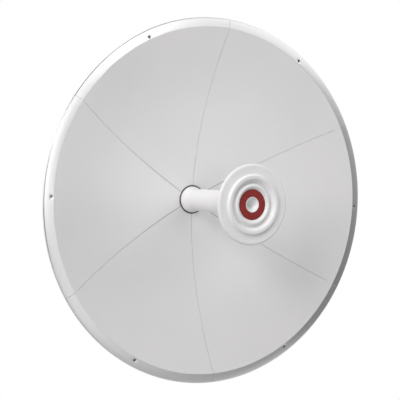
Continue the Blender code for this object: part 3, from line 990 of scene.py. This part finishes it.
# %% [markdown]
# ## The ringed disc
#
# The disc at the front is the sub-reflector. It has a rounded rim, a flat band, and then two
# raised rings with a valley between them, all round a flat seat for the red seal. Each ring is a
# smooth swell, so its line is drawn with eased steps from valley to crest. A cone behind it
# carries it on the tube, and a small cup closes its middle.

# %% Cone
DISC_REAR = 0.0933
DISC_BACK = RIM_PLANE + DISC_REAR
HOLE_RADIUS, CONE_RADIUS = 0.014, 0.042
CUP_HEIGHT, CUP_DEPTH = RIM_PLANE + 0.0977, 0.0125
CUP_RADIUS, CUP_WALL = 0.0130, 0.0010

recess_floor = CUP_HEIGHT - CUP_DEPTH - CUP_WALL - GAP
cone_line = softened(
    [
        (0.0, recess_floor, 0), (HOLE_RADIUS, recess_floor, 0),
        (HOLE_RADIUS, DISC_BACK - GAP, 0), (CONE_RADIUS, DISC_BACK - GAP, 0.0004),
        (CONE_RADIUS - 0.0008, DISC_BACK - 0.0016, 0.001),
        (TUBE_RADIUS + 0.0006, TUBE_FRONT + 0.0016, 0.003),
        (TUBE_RADIUS, TUBE_FRONT + GAP, 0), (0.0, TUBE_FRONT + GAP, 0),
    ]
)
cone = turned(cone_line, closed=False)
finish_piece("moulded_cone", cone, plastic, ["feed_cone"])
print("cone:", triangles["moulded_cone"], "triangles")

# %% The disc's profile, as (radius, height in front of the rim's plane)
DISC_RADIUS, DISC_TOP, DISC_EDGE = 0.0682, 0.1010, 0.0962
DISC_ROUND, DISC_CORNER = 0.0038, 0.0006
FLAT_INNER, FLAT_OUTER = (0.0517, 0.0998), (0.0630, 0.1008)
OUTER_CREST, OUTER_SHOULDER = (0.0480, 0.1039), (0.0441, 0.1040)
VALLEY_INNER, VALLEY_OUTER = (0.0362, 0.0970), (0.0386, 0.0970)
INNER_SHOULDER, INNER_CREST = (0.0324, 0.1010), (0.0306, 0.1010)
SEAL_TOP, SEAL_THICKNESS = 0.0980, 0.0017
SEAT_EDGE, SEAT_HEIGHT = (0.0260, 0.0974), SEAL_TOP - SEAL_THICKNESS - GAP
print("ring crests at", [round(ring[0] * 1000, 1) for ring in (INNER_CREST, OUTER_CREST)], "mm")

# %% Ringed disc
disc_line = softened(
    [
        (*FLAT_OUTER, 0), (DISC_RADIUS, DISC_TOP, DISC_ROUND),
        (DISC_RADIUS, DISC_EDGE, DISC_CORNER), (CONE_RADIUS, DISC_REAR, 0),
    ],
    steps=6,
)
disc_line += [(HOLE_RADIUS, DISC_REAR), (HOLE_RADIUS, SEAT_HEIGHT)]
disc_line += [(SEAT_EDGE[0], SEAT_HEIGHT), SEAT_EDGE]
disc_line += eased(SEAT_EDGE, INNER_CREST, 8) + eased(INNER_SHOULDER, VALLEY_INNER, 10)
disc_line += eased(VALLEY_OUTER, OUTER_SHOULDER, 10) + eased(OUTER_CREST, FLAT_INNER, 10)
disc_line = [(radius, RIM_PLANE + height) for radius, height in disc_line]
disc = turned(disc_line, steps=128)
finish_piece("ringed_disc", disc, plastic, ["sub_reflector"])
print("ringed disc:", triangles["ringed_disc"], "triangles")

# %% Red seal and cup
SEAL_OUTER, SEAL_INNER, SEAL_BEND = 0.0254, 0.0134, 0.0005

seal_top = RIM_PLANE + SEAL_TOP
seal_foot = seal_top - SEAL_THICKNESS
seal_line = softened(
    [
        (SEAL_OUTER, seal_top, SEAL_BEND), (SEAL_OUTER, seal_foot, 0),
        (SEAL_INNER, seal_foot, 0), (SEAL_INNER, seal_top, SEAL_BEND),
    ],
    steps=4,
    closed=True,
)
seal = turned(seal_line, steps=128)
finish_piece("silicone_seal", seal, silicone, ["seal_ring"])


def cup_curve(radius, depth):
    """A quarter of an ellipse, from the cup's lowest point up to its lip."""
    quarter = [radians(90 * step / 12) for step in range(13)]
    return [(radius * sin(turn), CUP_HEIGHT - depth * cos(turn)) for turn in quarter]


inside = cup_curve(CUP_RADIUS - CUP_WALL, CUP_DEPTH)
lip = [(CUP_RADIUS - CUP_WALL * share, CUP_HEIGHT + 0.0002) for share in (0.7, 0.3)]
outside = cup_curve(CUP_RADIUS, CUP_DEPTH + CUP_WALL)[::-1]
cup = turned(inside + lip + outside, steps=64, closed=False)
finish_piece("centre_cup_moulded", cup, plastic, ["centre_cup"])
print("seal:", triangles["silicone_seal"], "triangles")
print("cup:", triangles["centre_cup_moulded"], "triangles")

# %% [markdown]
# ## The camera
#
# The photograph was taken from the left of the dish, almost level with its axis, with a long
# lens. The camera's place and its three axes are given as numbers, which a fit to the six rim
# holes and six seams gave.

# %% Place the camera
right = Vector((0.8655, -0.4987, 0.0470)).normalized()
forward = Vector((0.5000, 0.8657, -0.0230)).normalized()
up = right.cross(forward).normalized()
right = forward.cross(up)

CAMERA_PLACE = Vector((-0.6570, -1.2247, 0.0304))
lens = bpy.data.cameras.new("camera")
lens.lens = 62.82
lens.sensor_width = 36
lens.clip_start, lens.clip_end = 0.05, 50
camera = bpy.data.objects.new("camera", lens)
axes = Matrix((right, up, -forward)).transposed().to_4x4()
camera.matrix_world = Matrix.Translation(CAMERA_PLACE) @ axes
bpy.context.scene.collection.objects.link(camera)
bpy.context.scene.camera = camera
rim_centre = Vector((0, -RIM_PLANE, 0))
print("camera", round((CAMERA_PLACE - rim_centre).length, 2), "m from the rim's centre")

# %% [markdown]
# ## The studio
#
# The photograph is a plain studio shot on white. A pale round floor lies well below the dish, and
# the surroundings are plain white to the camera. As a source of light they are softer, and
# stronger from some sides than from others, like white walls with large windows. Each side is a
# soft glow round one direction, a power of the cosine between the ray and that direction.

# %% Floor
FLOOR_DEPTH, FLOOR_RADIUS = 2.1, 4.0

studio_floor = bmesh.new()
level = Matrix.Translation((0, 0, -FLOOR_DEPTH))
bmesh.ops.create_circle(
    studio_floor, cap_ends=True, segments=96, radius=FLOOR_RADIUS, matrix=level
)
floor_mesh = bpy.data.meshes.new("studio_floor")
studio_floor.to_mesh(floor_mesh)
studio_floor.free()
floor = bpy.data.objects.new("studio_floor", floor_mesh)
bpy.context.scene.collection.objects.link(floor)
floor_paint, place = start_finish("pale_floor", Roughness=0.6)
feed(floor_paint, Base_Color=mixed(noise(place, 3.0), (0.80, 0.80, 0.80), (0.84, 0.84, 0.84)))
floor_mesh.materials.append(floor_paint)
floor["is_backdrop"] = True
print("floor", round(FLOOR_DEPTH + cad_box[0][2], 2), "m below the dish")

# %% Directions round the dish
def toward(azimuth, height):
    """Unit vector from the dish; azimuth 0 is straight ahead of it, and its right is positive."""
    azimuth, height = radians(azimuth), radians(height)
    return Vector((sin(azimuth) * cos(height), -cos(azimuth) * cos(height), sin(height)))


print("straight ahead of the dish is", tuple(toward(0, 0)))

# %% Surroundings
GLOWS = ((60, 55, 0.95), (10, -30, 0.14), (-30, -30, 1.05), (90, 15, 0.76), (-170, 13, 1.7))
GLOW_FOCUS = 4.0

surroundings = bpy.data.worlds.new("surroundings")
surroundings.use_nodes = True
bpy.context.scene.world = surroundings
tree = surroundings.node_tree
ray = Signal.node(tree, "TexCoord", output="Object")
light = 0.0
for azimuth, height, strength in GLOWS:
    between_ways = {0: ray, 1: tuple(toward(azimuth, height))}
    cosine = Signal.node(
        tree, "VectorMath", {"operation": "DOT_PRODUCT"}, between_ways, "Value"
    )
    light = cosine.math("MAXIMUM", 0.0) ** GLOW_FOCUS * strength + light
seen = Signal.node(tree, "LightPath", output="Is Camera Ray")
brightness = seen + (1.0 - seen) * light
backdrop = tree.nodes["Background"]
tree.links.new(brightness.socket, backdrop.inputs["Strength"])
backdrop.inputs["Color"].default_value = (1, 1, 1, 1)
bpy.context.scene.view_settings.view_transform = "Standard"
print(len(GLOWS), "soft glows round the studio")

# %% [markdown]
# ## Soft lamps
#
# Large square lamps add what the white walls lack: soft shadows of the feed on the bowl, and the
# bright reflection on the upper left of the rim. Photographers shade a lamp from what it
# shouldn't reach with a small flag. Blender's light linking does the same: the studio's lamps
# leave the feed alone, though it still casts its shadows on the bowl, and two lamps from the
# upper left light only the feed.

# %% Which lamps reach the feed
FEED_PIECES = (
    "foot_gasket", "moulded_feed_tube", "moulded_cone",
    "ringed_disc", "silicone_seal", "centre_cup_moulded",
)


def feed_link(name, state):
    """A light-linking collection that includes or excludes the pieces of the feed."""
    group = bpy.data.collections.new(name)
    for piece in FEED_PIECES:
        group.objects.link(bpy.data.objects[piece])
    for link in group.collection_objects:
        link.light_linking.link_state = state
    return group


ONLY_FEED, NOT_FEED = feed_link("only_feed", "INCLUDE"), feed_link("not_feed", "EXCLUDE")
print(len(FEED_PIECES), "pieces have lamps of their own")

# %% A soft lamp
DISH_MIDDLE = Vector((0, -0.15, 0))


def soft_lamp(name, azimuth, height, width, power, distance, reach):
    """A square area lamp that looks at the middle of the dish from a direction."""
    lamp = bpy.data.lights.new(name, "AREA")
    lamp.shape, lamp.size, lamp.energy = "SQUARE", width, power
    holder = bpy.data.objects.new(name, lamp)
    way = toward(azimuth, height)
    holder.location = DISH_MIDDLE + way * distance
    holder.rotation_euler = way.to_track_quat("Z", "Y").to_euler()
    holder.visible_camera = False
    holder.light_linking.receiver_collection = reach
    bpy.context.scene.collection.objects.link(holder)


print("the lamps look at", tuple(round(place, 2) for place in DISH_MIDDLE))

# %% Lamps: name, azimuth and height in degrees, width in metres, power in watts
STUDIO_LAMPS = (
    ("key_lamp", -57, 27, 0.75, 11.5),
    ("front_lamp", -11, 8, 1.1, 7.0),
    ("upper_lamp", 12, 27, 0.85, 4.9),
    ("upper_right_lamp", 44, 31, 1.1, 3.3),
    ("lower_lamp", 12, -15, 1.1, 2.9),
    ("lower_right_lamp", 58, -38, 1.1, 2.0),
    ("lower_left_lamp", -60, -38, 1.1, 2.0),
    ("left_lamp", -60, 8, 1.1, 1.4),
    ("left_wall", -112, 12, 1.5, 7.8),
    ("left_ceiling", -112, 62, 1.5, 8.5),
    ("back_ceiling", -158, 50, 1.5, 8.5),
)
FEED_LAMPS = (
    ("feed_side_lamp", -60, 26, 0.7, 19.5),
    ("feed_top_lamp", -15, 55, 0.5, 7.0),
)
STUDIO_DISTANCE, FEED_DISTANCE = 2.4, 1.8

for lamp in STUDIO_LAMPS:
    soft_lamp(*lamp, STUDIO_DISTANCE, NOT_FEED)
for lamp in FEED_LAMPS:
    soft_lamp(*lamp, FEED_DISTANCE, ONLY_FEED)
print(len(STUDIO_LAMPS) + len(FEED_LAMPS), "lamps")

# %% [markdown]
# ## Last checks
#
# The dressed antenna's box is measured against the CAD model's box. The dressed antenna
# has to fit the CAD model's box.

# %% Measure and finish
dressed_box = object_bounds()
grown = [max(abs(a - b) for a, b in zip(*pair)) for pair in zip(cad_box, dressed_box)]
print("pieces:", len(triangles), "largest change of a side:", round(max(grown) * 1000, 2), "mm")
print("triangles before modifiers:", sum(triangles.values()))
